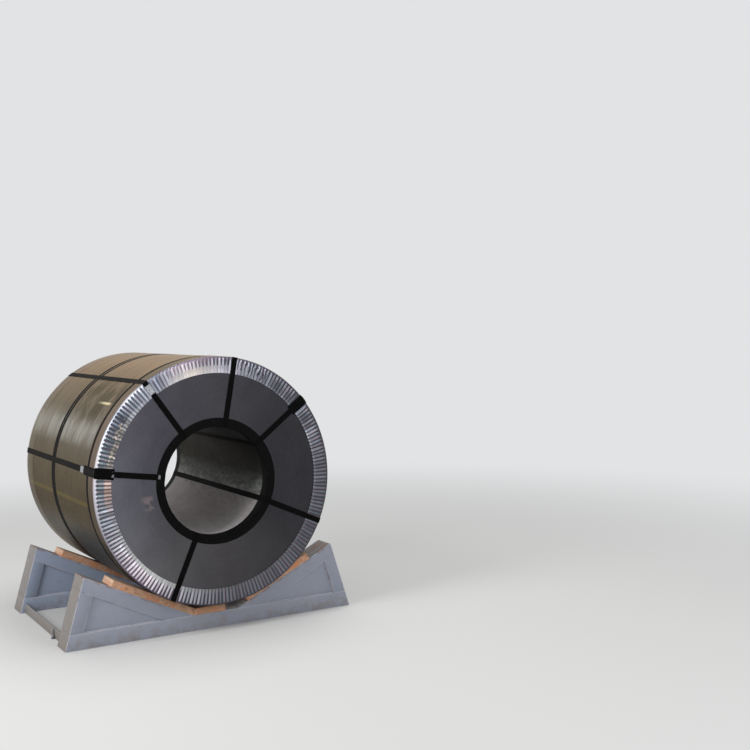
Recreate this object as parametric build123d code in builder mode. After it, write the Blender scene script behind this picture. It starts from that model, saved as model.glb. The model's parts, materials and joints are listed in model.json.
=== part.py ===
"""A strapped coil of galvanised steel strip lying on two lined saddles.

X runs along the bore, with the front end of the coil at +X. Y is across, Z is up and
the floor is Z = 0. Left is -Y. Angles about the bore start at +Y and rise towards +Z.
"""

import os
from math import asin, atan, cos, degrees, pi, radians, sin, sqrt, tan

from build123d import *

os.makedirs("parts", exist_ok=True)

# Coil
coil_width = 1450.0
coil_outer_radius = 695.0
coil_bore_radius = 305.0
turn_group_count = 3
turn_group_step = 1.2

# Crimped edge ring
ring_sheet = 0.6
ring_face_leg = 92.0
ring_side_leg = 150.0
pleat_count = 192
pleat_bend_margin = 3.0

# Bore ring
bore_ring_sheet = 0.6
bore_ring_face_leg = 48.0
bore_ring_inner_leg = 60.0

# Straps
strap_width = 32.0
strap_thickness = 0.8
end_girth_inset = 125.0
middle_girth_x = -75.0
middle_girth_pitch = 70.0
middle_girth_sway = 34.0

# Strap seals
seal_length = 56.0
seal_sheet = 1.0
seal_side_clearance = 0.3
seal_top_clearance = 0.1
girth_seal_angle = 0.0

# Corner pads
pad_thickness = 2.0
pad_side_width = 50.0
pad_side_leg = 190.0
pad_face_width = 60.0
pad_face_leg = 105.0

# Eye straps: angle about the bore, whether a corner pad lies under it, and how far its
# seal is from the front face along the side, or None where the seal is on the face
eye_straps = {
    "upper_right": (37.75, True, 222.0),
    "top": (79.0, False, 250.0),
    "upper_left": (124.75, False, None),
    "left": (171.25, True, 222.0),
    "lower_left": (246.0, False, 525.0),
    "right": (335.0, False, 240.0),
}
face_seal_inset = 50.0

# Saddles: an inset is from the end face of the coil to the middle of the saddle
saddle_front_inset = 165.0
saddle_rear_inset = 285.0
saddle_depth = 160.0
saddle_base_half = 860.0
saddle_top_half = 745.0
saddle_flat_half = 132.5
saddle_slope = 26.0
beam_height = 88.0
slope_beam_depth = 74.0
post_width = 75.0
web_sheet = 8.0
web_recess = 12.0

# Lining boards: at the left corner of the flat two boards are mitred together, at the right
# corner both stop short of it, and the upper ends stop short of the saddle's outer corners
board_thickness = 40.0
slope_board_top_gap = 160.0
right_board_foot_gap = 75.0
flat_board_right_gap = 72.5
seat_clearance = 0.3

# Floor rails between the saddles
rail_leg = 60.0
rail_sheet = 6.0
rail_foot_inset = 30.0

# Heights and radii that follow from the sizes above
coil_half = coil_width / 2
ring_radius = coil_outer_radius + ring_sheet
girth_outer_radius = ring_radius + strap_thickness
bore_strap_radius = coil_bore_radius - bore_ring_sheet
slope = radians(saddle_slope)
rest_radius = girth_outer_radius + strap_thickness + seat_clearance

# The lining's inner corner is where its slope meets its flat. The coil lies between the
# slopes on its outermost straps, or on the flat if it is too small to reach the slopes,
# which gives the height of its axis
slope_run = saddle_top_half - saddle_flat_half
saddle_height = beam_height + slope_run * tan(slope)
lining_corner_y = saddle_flat_half - board_thickness * tan(slope / 2)
lining_flat_z = beam_height + board_thickness
height_between_slopes = (rest_radius - lining_corner_y * sin(slope)) / cos(slope)
axis_z = lining_flat_z + max(height_between_slopes, rest_radius)
bore_axis = Axis((0, 0, axis_z), (1, 0, 0))

# A piece that follows the round of the coil is turned through a wider arc than it needs, and
# then trimmed to its width by a slab that is longer and higher than the whole coil
arc_spare = 1.3
slab_length = 3 * coil_width
slab_height = 4 * coil_outer_radius


def radial_plane(angle):
    """A plane through the bore axis: its x is X, and its y is the direction at this angle."""
    turn = radians(angle)
    return Plane(origin=(0, 0, axis_z), x_dir=(1, 0, 0), z_dir=(0, -sin(turn), cos(turn)))


def save(solid, name):
    """Labels a finished piece and writes its STEP file."""
    solid.label = name
    export_step(solid, f"parts/{name}.step")


# Steel coil: one turned solid whose end faces step where groups of turns stand proud
group_width = (coil_outer_radius - coil_bore_radius) / turn_group_count
end_profile = []
for group in range(turn_group_count):
    proud = turn_group_step if group % 2 else 0.0
    end_profile.append((coil_half - proud, coil_bore_radius + group * group_width))
    end_profile.append((coil_half - proud, coil_bore_radius + (group + 1) * group_width))
rear_profile = [(-x, r) for x, r in reversed(end_profile)]

with BuildPart() as steel_coil:
    with BuildSketch(radial_plane(0)):
        with BuildLine():
            Polyline(*end_profile, *rear_profile, close=True)
        make_face()
    revolve(axis=bore_axis)
save(steel_coil.part, "steel_coil")

# Crimped edge ring: a plain side leg, and a face leg whose spare length is taken up by
# V pleats that grow from almost nothing at the bend to their full height at the inner edge
ring_inner_radius = coil_outer_radius - ring_face_leg
pleat_turn = 360 / pleat_count
pleat_half_width = ring_inner_radius * tan(radians(pleat_turn / 2))
pleat_half_leg = pleat_half_width + pi * ring_face_leg / pleat_count
pleat_height = sqrt(pleat_half_leg**2 - pleat_half_width**2)
pleat_length = ring_face_leg - pleat_bend_margin


def is_under_strap(angle):
    """True where a strap or a corner pad presses the ring flat."""
    for strap_angle, padded, _ in eye_straps.values():
        width = pad_face_width if padded else strap_width
        flat_half = degrees(asin(width / 2 / ring_inner_radius)) + pleat_turn / 2
        if abs((angle - strap_angle + 180) % 360 - 180) < flat_half:
            return True
    return False


pleat_angles = [k * pleat_turn for k in range(pleat_count) if not is_under_strap(k * pleat_turn)]
pleat_apex = (0, ring_inner_radius + pleat_length, 0)
end_plane = Plane(origin=(coil_half, 0, axis_z), x_dir=(0, 1, 0), z_dir=(1, 0, 0))

# One pleat as a solid ridge: a block cut down by two flanks that meet at the apex
with BuildPart() as pleat_ridge:
    with Locations((0, ring_inner_radius, 0)):
        Box(
            2 * pleat_height,
            pleat_length,
            4 * pleat_half_width,
            align=(Align.MIN, Align.MIN, Align.CENTER),
        )
    for side in (1, -1):
        flank = (
            pleat_length * pleat_half_width,
            pleat_height * pleat_half_width,
            side * pleat_height * pleat_length,
        )
        split(bisect_by=Plane(origin=pleat_apex, z_dir=flank), keep=Keep.BOTTOM)

with BuildPart() as edge_ring:
    with BuildSketch(end_plane):
        Circle(ring_radius)
        RegularPolygon(
            ring_inner_radius, pleat_count, major_radius=False, rotation=pleat_turn / 2, mode=Mode.SUBTRACT
        )
    extrude(amount=ring_sheet)
    with BuildSketch(end_plane):
        Circle(ring_radius)
        Circle(coil_outer_radius, mode=Mode.SUBTRACT)
    extrude(amount=-ring_side_leg)
    ridges = [
        Pos(coil_half + ring_sheet, 0, axis_z) * Rot(X=angle) * pleat_ridge.part for angle in pleat_angles
    ]
    add(ridges)
    add([Pos(-ring_sheet, 0, 0) * ridge for ridge in ridges], mode=Mode.SUBTRACT)
save(edge_ring.part, "edge_ring_front")

with BuildPart() as edge_ring_rear:
    add(mirror(edge_ring.part, about=Plane.YZ))
save(edge_ring_rear.part, "edge_ring_rear")

# Bore ring: a plain angle round each edge of the bore
with BuildPart() as bore_ring:
    with BuildSketch(radial_plane(0)):
        with BuildLine():
            Polyline(
                (coil_half, coil_bore_radius),
                (coil_half, coil_bore_radius + bore_ring_face_leg),
                (coil_half + bore_ring_sheet, coil_bore_radius + bore_ring_face_leg),
                (coil_half + bore_ring_sheet, bore_strap_radius),
                (coil_half - bore_ring_inner_leg, bore_strap_radius),
                (coil_half - bore_ring_inner_leg, coil_bore_radius),
                close=True,
            )
        make_face()
    revolve(axis=bore_axis)
save(bore_ring.part, "bore_ring_front")

with BuildPart() as bore_ring_rear:
    add(mirror(bore_ring.part, about=Plane.YZ))
save(bore_ring_rear.part, "bore_ring_rear")


def girth_strap(middle_x, inner_radius, sway=0.0):
    """A strap round the coil; sway is how far its left side leans towards the front."""
    lean = atan(sway / coil_outer_radius)
    middle = (middle_x, 0, axis_z)
    leaning_plane = Plane(origin=middle, x_dir=(-sin(lean), cos(lean), 0), z_dir=(cos(lean), sin(lean), 0))
    with BuildPart() as strap:
        with BuildSketch(Plane(origin=middle, x_dir=(0, 1, 0), z_dir=(1, 0, 0))):
            Circle(inner_radius + strap_thickness)
            Circle(inner_radius, mode=Mode.SUBTRACT)
        extrude(amount=strap_width + abs(sway), both=True)
        with BuildSketch(leaning_plane):
            Circle(slab_height / 2)
        extrude(amount=strap_width / 2, both=True, mode=Mode.INTERSECT)
    return strap.part


girth_straps = {
    "girth_strap_front": (coil_half - end_girth_inset, ring_radius, 0.0),
    "girth_strap_middle_a": (middle_girth_x, coil_outer_radius, 0.0),
    "girth_strap_middle_b": (middle_girth_x - middle_girth_pitch, coil_outer_radius, middle_girth_sway),
}
for name, (middle_x, inner_radius, sway) in girth_straps.items():
    save(girth_strap(middle_x, inner_radius, sway), name)


def banded(points, angle, width, sheet):
    """A closed band of this width, of sheet laid outside the closed path of (x, radius) points."""
    reach = arc_spare * degrees(asin(width / 2 / coil_bore_radius))
    with BuildPart() as band:
        with BuildSketch(radial_plane(angle - reach)):
            with BuildLine():
                Polyline(*points, close=True)
            make_face()
            offset(amount=sheet, kind=Kind.INTERSECTION)
            with BuildLine():
                Polyline(*points, close=True)
            make_face(mode=Mode.SUBTRACT)
        revolve(axis=bore_axis, revolution_arc=2 * reach)
        with BuildSketch(radial_plane(angle)):
            Rectangle(slab_length, slab_height)
        extrude(amount=width / 2, both=True, mode=Mode.INTERSECT)
    return band.part


def eye_strap_path(padded):
    """The path of a strap through the bore, over the pad at its front corner if it has one."""
    face = coil_half + max(ring_sheet, bore_ring_sheet)
    pad = pad_thickness if padded else 0.0
    path = [(-face, bore_strap_radius), (face, bore_strap_radius)]
    if padded:
        path.append((face + pad, coil_outer_radius - pad_face_leg))
    path.append((face + pad, girth_outer_radius + pad))
    if padded:
        path.append((coil_half - pad_side_leg, girth_outer_radius + pad))
    path.append((-face, girth_outer_radius))
    return path


for place, (angle, padded, _) in eye_straps.items():
    save(banded(eye_strap_path(padded), angle, strap_width, strap_thickness), f"eye_strap_{place}")


def corner_pad(angle):
    """A folded pad over the front edge: a wide face leg and a narrower side leg."""
    face = coil_half + ring_sheet
    top = girth_outer_radius + pad_thickness
    leg_end = coil_outer_radius - pad_face_leg
    reach = arc_spare * degrees(asin(pad_face_width / 2 / leg_end))
    with BuildPart() as pad:
        with BuildSketch(radial_plane(angle - reach)):
            with BuildLine():
                Polyline(
                    (face, leg_end),
                    (face + pad_thickness, leg_end),
                    (face + pad_thickness, top),
                    (coil_half - pad_side_leg, top),
                    (coil_half - pad_side_leg, girth_outer_radius),
                    (face, girth_outer_radius),
                    close=True,
                )
            make_face()
        revolve(axis=bore_axis, revolution_arc=2 * reach)
        with BuildSketch(radial_plane(angle).rotated((-90, 0, 0))):
            with BuildLine():
                Polyline(
                    (coil_half - pad_side_leg, -pad_side_width / 2),
                    (coil_half, -pad_side_width / 2),
                    (face + pad_thickness, -pad_face_width / 2),
                    (face + pad_thickness, pad_face_width / 2),
                    (coil_half, pad_side_width / 2),
                    (coil_half - pad_side_leg, pad_side_width / 2),
                    close=True,
                )
            make_face()
        extrude(amount=2 * coil_outer_radius, both=True, mode=Mode.INTERSECT)
    return pad.part


for place, (angle, padded, _) in eye_straps.items():
    if padded:
        save(corner_pad(angle), f"corner_pad_{place}")


seal_gap_half = strap_width / 2 + seal_side_clearance
seal_half = seal_gap_half + seal_sheet


def eye_seal(angle, middle_x, strap_inner):
    """A seal folded over the top and both sides of an eye strap, on the coil's side."""
    strap_outer = strap_inner + strap_thickness + seal_top_clearance
    reach = arc_spare * degrees(asin(seal_half / coil_outer_radius))
    start = radial_plane(angle - reach)
    with BuildPart() as seal:
        with BuildSketch(start):
            with Locations((middle_x, (strap_inner + strap_outer) / 2)):
                Rectangle(seal_length, strap_outer - strap_inner)
        revolve(axis=bore_axis, revolution_arc=2 * reach)
        with BuildSketch(radial_plane(angle)):
            Rectangle(slab_length, slab_height)
        extrude(amount=seal_gap_half, both=True, mode=Mode.SUBTRACT)
        with BuildSketch(start):
            with Locations((middle_x, strap_outer + seal_sheet / 2)):
                Rectangle(seal_length, seal_sheet)
        revolve(axis=bore_axis, revolution_arc=2 * reach)
        with BuildSketch(radial_plane(angle)):
            Rectangle(slab_length, slab_height)
        extrude(amount=seal_half, both=True, mode=Mode.INTERSECT)
    return seal.part


def face_seal(angle):
    """A seal folded over an eye strap where it crosses the crimped ring."""
    face = coil_half + ring_sheet
    channel = strap_thickness + seal_top_clearance
    across = radial_plane(angle)
    middle_radius = coil_outer_radius - face_seal_inset
    with BuildPart() as seal:
        with BuildSketch(across):
            with Locations((face + (channel + seal_sheet) / 2, middle_radius)):
                Rectangle(channel + seal_sheet, seal_length)
        extrude(amount=seal_half, both=True)
        with BuildSketch(across):
            with Locations((face + channel / 2, middle_radius)):
                Rectangle(channel, seal_length)
        extrude(amount=seal_gap_half, both=True, mode=Mode.SUBTRACT)
    return seal.part


def girth_seal(middle_x, strap_inner):
    """A seal folded over a girth strap."""
    strap_outer = strap_inner + strap_thickness + seal_top_clearance
    reach = degrees(seal_length / 2 / strap_outer)
    with BuildPart() as seal:
        with BuildSketch(radial_plane(girth_seal_angle - reach)):
            with BuildLine():
                Polyline(
                    (middle_x - seal_half, strap_inner),
                    (middle_x - seal_gap_half, strap_inner),
                    (middle_x - seal_gap_half, strap_outer),
                    (middle_x + seal_gap_half, strap_outer),
                    (middle_x + seal_gap_half, strap_inner),
                    (middle_x + seal_half, strap_inner),
                    (middle_x + seal_half, strap_outer + seal_sheet),
                    (middle_x - seal_half, strap_outer + seal_sheet),
                    close=True,
                )
            make_face()
        revolve(axis=bore_axis, revolution_arc=2 * reach)
    return seal.part


for place, (angle, padded, seal_inset) in eye_straps.items():
    if seal_inset is None:
        save(face_seal(angle), f"eye_seal_{place}")
    else:
        strap_inner = girth_outer_radius + (pad_thickness if padded else 0.0)
        save(eye_seal(angle, coil_half - seal_inset, strap_inner), f"eye_seal_{place}")

for name, (middle_x, inner_radius, sway) in girth_straps.items():
    seal_x = middle_x - sway * cos(radians(girth_seal_angle))
    save(girth_seal(seal_x, inner_radius), name.replace("strap", "seal"))

# Saddle outline: a slope beam runs from the flat over its post, which leans inwards, to the
# outer corner of the saddle
post_lean = (saddle_base_half - saddle_top_half) / saddle_height
slope_beam_rise = slope_beam_depth / cos(slope)
slope_toe_y = saddle_flat_half + slope_beam_rise / tan(slope)
slope_length = slope_run / cos(slope)


def post_outer_y(z):
    """The outer face of a post at this height."""
    return saddle_base_half - post_lean * z


def post_inner_y(z):
    """The inner face of a post at this height."""
    return post_outer_y(z) - post_width


def under_slope_beam(face_y):
    """Where a slope beam's underside meets a leaning face that starts at face_y on the floor."""
    z = (beam_height + (face_y - slope_toe_y) * tan(slope)) / (1 + post_lean * tan(slope))
    return (face_y - post_lean * z, z)


def on_slope(along, above):
    """A point this far up the slope from the flat, and this far above its surface."""
    return (
        saddle_flat_half + along * cos(slope) - above * sin(slope),
        beam_height + along * sin(slope) + above * cos(slope),
    )


def cross_piece(outline, side, rear_x, depth):
    """A piece of constant outline in Y and Z, on the right for side 1 and the left for side -1."""
    with BuildPart() as piece:
        with BuildSketch(Plane(origin=(rear_x, 0, 0), x_dir=(0, 1, 0), z_dir=(1, 0, 0))):
            with BuildLine():
                Polyline(*[(side * y, z) for y, z in outline], close=True)
            make_face()
        extrude(amount=depth)
    return piece.part


base_outline = [
    (-post_outer_y(0), 0),
    (post_outer_y(0), 0),
    (post_outer_y(beam_height), beam_height),
    (-post_outer_y(beam_height), beam_height),
]
post_outline = [
    (post_inner_y(beam_height), beam_height),
    (post_outer_y(beam_height), beam_height),
    under_slope_beam(post_outer_y(0)),
    under_slope_beam(post_inner_y(0)),
]
slope_beam_outline = [
    on_slope(0, 0),
    (slope_toe_y, beam_height),
    under_slope_beam(post_outer_y(0)),
    on_slope(slope_length, 0),
]
web_outline = [
    (slope_toe_y, beam_height),
    (post_inner_y(beam_height), beam_height),
    under_slope_beam(post_inner_y(0)),
]
slope_board_top = slope_length - slope_board_top_gap
flat_board_end_y = saddle_flat_half - flat_board_right_gap
slope_board_outlines = {
    "left": [
        on_slope(0, 0),
        on_slope(slope_board_top, 0),
        on_slope(slope_board_top, board_thickness),
        (lining_corner_y, lining_flat_z),
    ],
    "right": [
        on_slope(right_board_foot_gap, 0),
        on_slope(slope_board_top, 0),
        on_slope(slope_board_top, board_thickness),
        on_slope(right_board_foot_gap, board_thickness),
    ],
}
flat_board_outline = [
    (-saddle_flat_half, beam_height),
    (flat_board_end_y, beam_height),
    (flat_board_end_y, lining_flat_z),
    (-lining_corner_y, lining_flat_z),
]

saddle_rows = {"front": coil_half - saddle_front_inset, "rear": saddle_rear_inset - coil_half}

for row, middle_x in saddle_rows.items():
    back = middle_x - saddle_depth / 2
    web_back = back + saddle_depth - web_recess - web_sheet
    save(cross_piece(base_outline, 1, back, saddle_depth), f"saddle_{row}_base_beam")
    save(cross_piece(flat_board_outline, 1, back, saddle_depth), f"lining_{row}_middle")
    for hand, side in (("left", -1), ("right", 1)):
        save(cross_piece(post_outline, side, back, saddle_depth), f"saddle_{row}_post_{hand}")
        save(cross_piece(slope_beam_outline, side, back, saddle_depth), f"saddle_{row}_slope_beam_{hand}")
        save(cross_piece(web_outline, side, web_back, web_sheet), f"saddle_{row}_web_plate_{hand}")
        save(cross_piece(slope_board_outlines[hand], side, back, saddle_depth), f"lining_{row}_{hand}")

# Floor rails: an angle bar on the floor between the saddles on each side
rail_outer_y = saddle_base_half - rail_foot_inset
rail_outline = [
    (rail_outer_y - rail_leg, 0),
    (rail_outer_y, 0),
    (rail_outer_y, rail_leg),
    (rail_outer_y - rail_sheet, rail_leg),
    (rail_outer_y - rail_sheet, rail_sheet),
    (rail_outer_y - rail_leg, rail_sheet),
]
rail_start = saddle_rows["rear"] + saddle_depth / 2
rail_length = saddle_rows["front"] - saddle_depth / 2 - rail_start
for hand, side in (("left", -1), ("right", 1)):
    save(cross_piece(rail_outline, side, rail_start, rail_length), f"floor_rail_{hand}")
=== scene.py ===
"""Looks of a strapped coil of galvanised steel strip that lies on two lined saddles.

Metres, Z up, floor at Z = 0. X runs along the bore with the front end at +X, and left is -Y.
Angles about the bore start at +Y and rise towards +Z.
"""

import json
import random
from contextlib import contextmanager
from math import atan, atan2, cos, degrees, pi, radians, sin, tan

import bmesh
import bpy
from mathutils import Matrix, Vector


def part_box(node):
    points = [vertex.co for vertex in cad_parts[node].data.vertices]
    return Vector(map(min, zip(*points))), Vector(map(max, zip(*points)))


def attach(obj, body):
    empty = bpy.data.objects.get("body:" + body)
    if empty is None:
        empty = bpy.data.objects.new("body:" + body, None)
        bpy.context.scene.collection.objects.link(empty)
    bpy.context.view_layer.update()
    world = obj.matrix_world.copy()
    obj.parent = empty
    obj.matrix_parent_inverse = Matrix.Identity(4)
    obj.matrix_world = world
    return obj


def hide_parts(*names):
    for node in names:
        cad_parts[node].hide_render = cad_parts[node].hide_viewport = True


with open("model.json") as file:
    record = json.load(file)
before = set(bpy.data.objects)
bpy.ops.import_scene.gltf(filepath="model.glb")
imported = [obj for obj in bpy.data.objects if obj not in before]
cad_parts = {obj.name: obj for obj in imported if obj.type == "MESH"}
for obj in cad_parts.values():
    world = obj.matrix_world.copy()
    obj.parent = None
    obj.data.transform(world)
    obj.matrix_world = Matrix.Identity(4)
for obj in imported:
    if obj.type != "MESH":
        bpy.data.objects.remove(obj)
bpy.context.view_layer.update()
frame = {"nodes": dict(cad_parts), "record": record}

MM = 0.001

# Places read from the frame, and the slope of the saddles' boards in degrees
coil_low, coil_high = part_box("steel_coil")
COIL_HALF = coil_high.x
COIL_RADIUS = (coil_high.y - coil_low.y) / 2
AXIS_Z = (coil_high.z + coil_low.z) / 2
BORE_AXIS = Vector((0, 0, AXIS_Z))
bore_mount = next(mount for mount in frame["record"]["mounts"] if mount["kind"] == "bore")
BORE_RADIUS = bore_mount["dims"]["r_mm"] * MM
ring_low, ring_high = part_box("edge_ring_front")
RING_REACH = ring_high.x - COIL_HALF
RING_SIDE_LEG = COIL_HALF - ring_low.x
SADDLE_SLOPE = 26.0
FLAT_BOARD_HALF = -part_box("lining_front_middle")[0].y
BEAM_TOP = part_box("saddle_front_base_beam")[1].z
SADDLE_BED = BEAM_TOP - FLAT_BOARD_HALF * tan(radians(SADDLE_SLOPE))

# Camera, as the photograph was taken: place, angles in degrees, lens and sensor in millimetres
CAMERA_PLACE = (6.7614, -2.4479, 1.7423)
CAMERA_HEADING = 60.02
CAMERA_TILT = -2.95
CAMERA_ROLL = -1.62
CAMERA_LENS = 55.95
CAMERA_SENSOR = 36.0

# Wound strip: the edges of its turns are set back by depths between these two
COIL_SEGMENTS = 192
TURN_EDGES = 58
TURN_DEPTHS = (0.1 * MM, 0.9 * MM)
TURN_SEED = 4
CORNER_ROUND = 4 * MM

# Crimped ring: heights are shares of the full height of a pleat
RING_SHEET = 0.6 * MM
RING_FACE_LEG = 92 * MM
BEND_RADIUS = 3 * MM
FACE_OUTER = COIL_RADIUS - BEND_RADIUS
FACE_INNER = COIL_RADIUS - RING_FACE_LEG
PLEATS = 192
PLEAT_COLUMNS = 8
PLEAT_ROWS = 9
PLEAT_HEIGHT = RING_REACH - RING_SHEET
PRESSED_SHARE = 0.1
LOWEST_PLEAT = 0.7

# Where the ridge stands across a pleat, from -1 to 1, and its height at shares of the leg
PLEAT_LEANS = (-0.22, 0.0, 0.18)
STANDING_RISE = [(0.0, 0.0), (0.12, 0.55), (0.4, 0.95), (1.0, 1.0)]
ROLLED_RISE = [(0.0, 0.0), (0.12, 0.6), (0.4, 1.0), (0.6, 0.75), (0.72, 0.3), (1.0, 0.2)]

# Angles about the bore between which the inner ends of the pleats were rolled over
ROLLED_OVER = [(81, 116), (207, 244)]

# Angles about the bore of the straps that press the ring flat, and half the width pressed
PRESSED = {
    37.75: 30 * MM,
    79: 16 * MM,
    124.75: 16 * MM,
    171.25: 30 * MM,
    246: 16 * MM,
    335: 16 * MM,
}

# Seals, cut into slices from the middle out, of which two on each side are nicked
SEAL_SLICES = 9
SEAL_NICKS = (3, 6)
NICK_SHARE = 0.2

# Welds and eased edges
WELD_SIZE = 5 * MM
WELD_PITCH = 6 * MM
EASED_STEEL = 2.5 * MM
EASED_WOOD = 4 * MM
EASED_RUBBER = MM

# Anchor bolt beside the left floor rail: sides, radius, foot and height of its parts
BOLT_PLACE = (0.32, -0.841)
BOLT_PARTS = {
    "washer": (24, 11 * MM, 0, 3 * MM),
    "nut": (6, 10 * MM, 3 * MM, 10 * MM),
    "rod": (20, 6 * MM, 3 * MM, 52 * MM),
}


class Signal:
    """An output of a shader node, for sums written as they are on paper."""

    def __init__(self, finish, socket):
        self.finish = finish
        self.socket = socket

    def math(self, operation, *others):
        """The result of a Math node on this value and others."""
        values = dict(enumerate((self, *others)))
        return self.finish.node("ShaderNodeMath", {"operation": operation}, values)

    def __add__(self, other):
        return self.math("ADD", other)

    def __radd__(self, other):
        return self.math("ADD", other)

    def __sub__(self, other):
        return self.math("SUBTRACT", other)

    def __rsub__(self, other):
        return (self * -1) + other

    def __mul__(self, other):
        return self.math("MULTIPLY", other)

    def __rmul__(self, other):
        return self.math("MULTIPLY", other)

    def __truediv__(self, other):
        return self.math("DIVIDE", other)

    def __pow__(self, other):
        return self.math("POWER", other)

    def __abs__(self):
        return self.math("ABSOLUTE")


class Finish:
    """A node tree under construction, for a material or the world."""

    def __init__(self, tree):
        self.tree = tree
        tree.nodes.clear()

    def node(self, kind, settings=None, inputs=None, output=0):
        """Adds a node, sets it up, fills or links its inputs, and returns one output."""
        made = self.tree.nodes.new(kind)
        for name, value in (settings or {}).items():
            if name == "stops":
                set_stops(made.color_ramp, value)
            else:
                setattr(made, name, value)
        for key, value in (inputs or {}).items():
            socket = find_socket(made.inputs, key)
            if isinstance(value, Signal):
                self.tree.links.new(value.socket, socket)
            else:
                socket.default_value = value
        return Signal(self, find_socket(made.outputs, output))

    def mix(self, first, second, factor):
        """A colour that goes from first to second."""
        return self.node(
            "ShaderNodeMix",
            {"data_type": "RGBA"},
            {"Factor_Float": factor, "A_Color": first, "B_Color": second},
            "Result_Color",
        )

    def fade(self, value, low, high):
        """A smooth step from 0 at low to 1 at high."""
        return self.node(
            "ShaderNodeMapRange",
            {"interpolation_type": "SMOOTHSTEP"},
            {"Value": value, "From Min": low, "From Max": high},
        )

    def near(self, value, centre, reach):
        """1 where the value is the centre, falling to 0 at this reach from it."""
        return self.fade(abs(value - centre), reach, reach * 0.35)

    def ramp(self, value, stops):
        """A colour from a ramp with these stops of (position, colour)."""
        return self.node("ShaderNodeValToRGB", {"stops": stops}, {"Fac": value}, "Color")

    def around(self, turn, tones):
        """Colours at angles about the bore, blended in between."""
        stops = sorted(((0.75 - angle / 360) % 1, tone) for angle, tone in tones.items())
        (first, first_tone), (last, last_tone) = stops[0], stops[-1]
        share = (1 - last) / (1 - last + first)
        seam = tuple(a + (b - a) * share for a, b in zip(last_tone, first_tone))
        return self.ramp(turn + 0.5, [(0.0, seam), *stops, (1.0, seam)])

    def level(self, turn, levels):
        """Numbers from 0 to 1 at angles about the bore, blended in between."""
        tones = {angle: (value, value, value, 1.0) for angle, value in levels.items()}
        return self.around(turn, tones)

    def shaded(self, colour, factor):
        """A colour made lighter or darker by a factor."""
        inputs = {0: colour, "Scale": factor}
        return self.node("ShaderNodeVectorMath", {"operation": "SCALE"}, inputs)

    def cells(self, scales, output):
        """Cells over the object: their colours, or the distance from the middle of each."""
        inputs = {"Vector": self.stretched(scales), "Scale": 1.0}
        return self.node("ShaderNodeTexVoronoi", {}, inputs, output)

    def spangle(self, scales):
        """Cells over the object, each with a number from 0 to 1."""
        return self.node("ShaderNodeSeparateColor", {}, {0: self.cells(scales, "Color")})

    def chance(self, value):
        """A random number from 0 to 1 for each value."""
        return self.node("ShaderNodeTexWhiteNoise", {"noise_dimensions": "1D"}, {"W": value})

    def noise_along(self, value, detail=2.0):
        """Soft noise along a single value."""
        inputs = {"W": value, "Detail": detail}
        return self.node("ShaderNodeTexNoise", {"noise_dimensions": "1D"}, inputs)

    def noise(self, scales, detail=3.0, roughness=0.55, distortion=0.0):
        """Soft noise over the object, with its own scale along X, Y and Z."""
        return self.node(
            "ShaderNodeTexNoise",
            {},
            {
                "Vector": self.stretched(scales),
                "Scale": 1.0,
                "Detail": detail,
                "Roughness": roughness,
                "Distortion": distortion,
            },
        )

    def stretched(self, scales):
        """Object coordinates, scaled along each axis."""
        inputs = {"Vector": self.node("ShaderNodeTexCoord", output="Object"), "Scale": scales}
        return self.node("ShaderNodeMapping", {"vector_type": "POINT"}, inputs)

    def axes(self, vector):
        """X, Y and Z of a vector."""
        split = self.node("ShaderNodeSeparateXYZ", {}, {0: vector})
        return [Signal(self, socket) for socket in split.socket.node.outputs]

    def place(self):
        """X, Y and Z over the object."""
        return self.axes(self.node("ShaderNodeTexCoord", output="Object"))

    def facing(self):
        """X, Y and Z of the surface's own direction."""
        return self.axes(self.node("ShaderNodeNewGeometry", output="True Normal"))

    def about_bore(self):
        """Distance along the bore, turn from the top in turns (left is -0.25), and radius."""
        x, y, z = self.place()
        height = z - AXIS_Z
        turn = y.math("ARCTAN2", height) / (2 * pi)
        return x, turn, (y * y + height * height) ** 0.5

    def bump(self, height, strength, distance):
        """The surface's direction, as tilted by fine relief."""
        inputs = {"Height": height, "Strength": strength, "Distance": distance}
        return self.node("ShaderNodeBump", {}, inputs, "Normal")

    def kind_of_ray(self, *kinds):
        """1 where the ray is of one of these kinds, such as Camera, and 0 where it isn't."""
        path = self.node("ShaderNodeLightPath").socket.node.outputs
        return sum(Signal(self, path[f"Is {kind} Ray"]) for kind in kinds)

    def surface(self, **sockets):
        """The principled surface, with its sockets named in words joined by _."""
        inputs = {}
        for name, value in sockets.items():
            inputs[name.replace("_", " ").title().replace("Ior", "IOR")] = value
        shader = self.node("ShaderNodeBsdfPrincipled", {}, inputs)
        self.node("ShaderNodeOutputMaterial", {}, {"Surface": shader}, None)


def set_stops(ramp, stops):
    """Puts stops of (position, colour) in place of a ramp's own."""
    while len(ramp.elements) > 1:
        ramp.elements.remove(ramp.elements[-1])
    ramp.elements[0].position, ramp.elements[0].color = stops[0]
    for position, colour in stops[1:]:
        ramp.elements.new(position).color = colour


def find_socket(sockets, key):
    """A socket by its number, its identifier or its name."""
    if key is None:
        return None
    if isinstance(key, int):
        return sockets[key]
    return next(s for s in sockets if key in (s.identifier, s.name))


def paint(red, green, blue):
    """A colour as a screen shows it, from 0 to 255, as the shader's own linear colour."""
    return (*(((level / 255 + 0.055) / 1.055) ** 2.4 for level in (red, green, blue)), 1.0)


def new_finish(name):
    """A new material and the tree to build it in."""
    material = bpy.data.materials.new(name)
    material.use_nodes = True
    return material, Finish(material.node_tree)


# Steps of modelling


def only(obj):
    """Makes obj the one selected and active object."""
    bpy.ops.object.select_all(action="DESELECT")
    obj.select_set(True)
    bpy.context.view_layer.objects.active = obj
    return obj


@contextmanager
def editing(obj):
    """Edit mode on obj alone."""
    only(obj)
    bpy.ops.object.mode_set(mode="EDIT")
    yield obj
    bpy.ops.object.mode_set(mode="OBJECT")


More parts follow.
